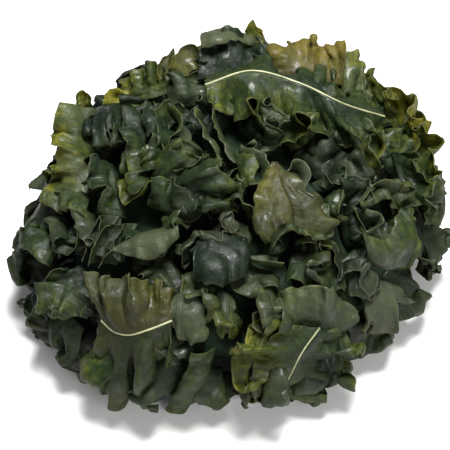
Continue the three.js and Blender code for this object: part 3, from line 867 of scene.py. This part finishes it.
def blade_piece(name, blades, settled):
    """A group of blades as one mesh in metres, with the marks that the finish reads."""
    sheets = [thin_sheet(one, sheet) for one, sheet in zip(blades, settled)]
    starts = np.cumsum([0] + [len(points) for points, _, _ in sheets])
    points = np.concatenate([points for points, _, _ in sheets]) * 0.001
    faces = np.concatenate([faces + start for (_, faces, _), start in zip(sheets, starts)])
    mesh = bpy.data.meshes.new(name)
    mesh.from_pydata(points.tolist(), [], faces.tolist())
    for key in sheets[0][2]:  # the names of the marks
        values = np.concatenate([marks[key] for _, _, marks in sheets]).astype(np.float32)
        mesh.attributes.new(key, "FLOAT", "POINT").data.foreach_set("value", values)
    mesh.shade_smooth()
    mesh.update()
    return placed(name, mesh)


wet, shader, where = new_finish("wakame_blade_finish", {"Specular IOR Level": 0.22, "Coat Roughness": 0.14})
tree = wet.node_tree


def mark(name):
    """One of the marks that a blade's mesh carries."""
    node = tree.nodes.new("ShaderNodeAttribute")
    node.attribute_name = name
    return node.outputs["Fac"]


def blend(share, colour, over):
    """A colour with a share of a plain one over it."""
    node = tree.nodes.new("ShaderNodeMix")
    node.data_type = "RGBA"
    for socket, value in ((0, share), (6, colour), (7, (*over, 1))):
        put(value, node.inputs[socket])
    return node.outputs[2]


margin = mark("toward_margin")
blotches, mottling = spots(where, 32, 4), spots(where, 240, 5)
# the fibres fan out from the root to the margin
fan = add_node(tree, "ShaderNodeCombineXYZ", {"X": mark("fibre"), "Y": times(margin, 4)})
fibres = spots(fan.outputs["Vector"], 0.6, 3)
yellow = mark("tone")
# the blotches, the mottling and the fibres vary the yellow at random; the margin's share makes each blade
# yellower towards its edge, painted light coming through the thin margin
for pattern, usual, share in (
    (blotches, 0.5, 1.1), (mottling, 0.5, 0.9), (margin, 0.6, 0.25), (fibres, 0.5, 0.6),
):
    yellow = plus(yellow, times(less(pattern, usual), share))
colour = ramp(yellow, [
    (0.0, (0.003, 0.009, 0.005)), (0.3, (0.008, 0.018, 0.007)), (0.55, (0.019, 0.033, 0.007)),
    (0.8, (0.050, 0.063, 0.008)), (1.0, (0.13, 0.125, 0.010)),
])
colour = blend(times(mark("brown"), blotches), colour, (0.10, 0.068, 0.018))
# painted sheen: pale grey-green patches, partly a blade's own grey and partly painted sheen on its faces
bloom = math_node("MULTIPLY_ADD", mark("bloom"), 0.3, spots(where, 24, 3))
colour = blend(ramp(bloom, [(0.62, 0), (0.9, 0.6)]), colour, (0.070, 0.080, 0.044))
# painted highlight: the outermost share towards the margin turns pale, a painted line of light along each
# blade's edge
colour = blend(ramp(margin, [(0.95, 0), (1.0, 0.28)]), colour, (0.15, 0.15, 0.075))
put(colour, shader.inputs["Base Color"])
rough = add_node(tree, "ShaderNodeMapRange", {
    "Value": mottling, "From Min": 0.3, "From Max": 0.7, "To Min": 0.4, "To Max": 0.62,
})
put(rough.outputs["Result"], shader.inputs["Roughness"])
put(ramp(spots(where, 130, 4), [(0.5, 0), (0.68, 0.3)]), shader.inputs["Coat Weight"])
grain = math_node("MULTIPLY_ADD", mottling, 0.6, spots(where, 210, 2))
skin = bumps(math_node("MULTIPLY_ADD", fibres, 0.3, grain), 0.0014, 0.6)
put(skin, shader.inputs["Normal"])
light_through = ramp(yellow, [
    (0.1, (0.008, 0.018, 0.006)), (0.55, (0.06, 0.07, 0.012)), (0.95, (0.34, 0.28, 0.02)),
])
glow = add_node(tree, "ShaderNodeBsdfTranslucent", {"Color": light_through, "Normal": skin})
thin = {"Fac": 0.3, 1: shader.outputs[0], 2: glow.outputs[0]}  # so much light comes through a blade
thin = add_node(tree, "ShaderNodeMixShader", thin)
put(thin.outputs[0], tree.nodes["Material Output"].inputs["Surface"])

longest, large, middle, small = (group["points"] for group in bundles)
counts = np.cumsum([len(edges), len(skirts)])
ruffles = middle[counts[1]:]
for name, blades, settled in (
    ("wakame_long_fronds", long_fronds, longest),
    ("wakame_top_fronds", top_fronds, large[:len(top_fronds)]),
    ("wakame_front_fronds", front_fronds, large[len(top_fronds):]),
    ("wakame_edges", edges, middle[:counts[0]]),
    ("wakame_skirts", skirts, middle[counts[0]:counts[1]]),
    ("wakame_front_ruffles", top_ruffles[::2], ruffles[::2]),
    ("wakame_back_ruffles", top_ruffles[1::2], ruffles[1::2]),
    ("wakame_foot_ruffles", foot_ruffles, small),
):
    piece = blade_piece(name, blades, settled)
    piece.data.materials.append(wet)
    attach(piece, "root")
    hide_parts("wakame_heap")

# --------------------------------------------------
# The midribs: pale cream cords of firm tissue along the roots of some fronds, a millimetre or two
# thick and thinner towards both ends. Each follows its settled blade.

cream, shader, where = new_finish("wakame_rib_finish", {"Roughness": 0.45})
streaks = ramp(spots(where, 90, 3), [(0.3, (0.15, 0.16, 0.07)), (0.6, (0.31, 0.31, 0.17))])
put(streaks, shader.inputs["Base Color"])
put(bumps(spots(where, 400, 2), 0.0004), shader.inputs["Normal"])

settled = list(zip(long_fronds, longest)) + list(zip(top_fronds + front_fronds, large))
ribs = [sheet[:, 0] for one, sheet in settled if one["cord"]]
starts = np.cumsum([0] + [len(rib) for rib in ribs])
rib_lines = bpy.data.meshes.new("rib_lines")
rib_edges = [(i, i + 1) for first, last in zip(starts, starts[1:]) for i in range(first, last - 1)]
rib_lines.from_pydata((np.concatenate(ribs) * 0.001).tolist(), rib_edges, [])
rib_sizes = {"Thickness": 0.00115, "Tip": 0.25, "Step": 0.002, "Finish": cream}  # Tip is a share
rib_tree, size = new_tree("midribs", rib_sizes)
curves = add_node(rib_tree, "GeometryNodeMeshToCurve", {"Mesh": size["Geometry"]})
resample = rib_tree.nodes.new("GeometryNodeResampleCurve")
resample.mode = "LENGTH"
put(curves.outputs["Curve"], resample.inputs["Curve"])
put(size["Step"], resample.inputs["Length"])
along = add_node(rib_tree, "GeometryNodeSplineParameter").outputs["Factor"]
taper = math_node("POWER", times(times(along, less(1, along)), 4), 0.3)  # 1 in the middle, 0 at the ends
taper = math_node("MULTIPLY_ADD", taper, less(1, size["Tip"]), size["Tip"])
rib = add_node(rib_tree, "GeometryNodeSetCurveRadius", {"Curve": resample.outputs["Curve"], "Radius": taper})
profile = {"Resolution": 8, "Radius": times(size["Thickness"], 0.5)}
profile = add_node(rib_tree, "GeometryNodeCurvePrimitiveCircle", profile)
tube = add_node(rib_tree, "GeometryNodeCurveToMesh", {
    "Curve": rib.outputs["Curve"], "Profile Curve": profile.outputs["Curve"], "Fill Caps": True,
})
close_tree(rib_tree, tube.outputs["Mesh"], size["Finish"])
midribs = grown_piece("wakame_midribs", rib_tree, rib_sizes, rib_lines)
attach(midribs, "root")
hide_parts("wakame_heap")

# --------------------------------------------------
# The floor, the light and the camera: a plain pale floor, a soft light overhead, a weaker one in
# front at the right, and the camera looking down as in a kitchen.

FLOOR = 3.0  # metres from its middle to its sides
corners = [(-FLOOR, -FLOOR, 0), (FLOOR, -FLOOR, 0), (FLOOR, FLOOR, 0), (-FLOOR, FLOOR, 0)]
floor_mesh = bpy.data.meshes.new("floor")
floor_mesh.from_pydata(corners, [], [(0, 1, 2, 3)])
pale, _, _ = new_finish("floor_finish", {"Base Color": (0.8, 0.8, 0.78, 1), "Roughness": 0.6})
floor_mesh.materials.append(pale)
floor = placed("floor", floor_mesh)

world = bpy.data.worlds.new("studio")
bpy.context.scene.world = world
world.use_nodes = True
sky = world.node_tree.nodes["Background"].inputs
sky["Color"].default_value, sky["Strength"].default_value = (0.95, 0.98, 1, 1), 0.27


def aimed(item, place, aim):
    """Puts a light or the camera in its place and turns it to what it looks at."""
    item.location = place
    item.rotation_euler = (Vector(aim) - Vector(place)).to_track_quat("-Z", "Y").to_euler()


HEAP_MIDDLE = (0, 0, 0.05)
for name, place, width, power in (
    ("overhead", (0.05, 0.06, 0.8), 0.3, 15.5),
    ("front", (0.4, -0.75, 0.5), 0.5, 5.5),
):
    lamp = bpy.data.lights.new(name, "AREA")
    lamp.energy, lamp.size = power, width
    aimed(placed(name, lamp), place, HEAP_MIDDLE)

AIM = Vector((-0.005, -0.008, 0.038))
ELEVATION, DISTANCE = math.radians(47), 0.56
back = Vector((0, -math.cos(ELEVATION), math.sin(ELEVATION)))
camera = placed("camera", bpy.data.cameras.new("camera"))
camera.data.angle = math.radians(26)
aimed(camera, AIM + back * DISTANCE, AIM)
bpy.context.scene.camera = camera
bpy.context.scene.view_settings.view_transform = "Standard"
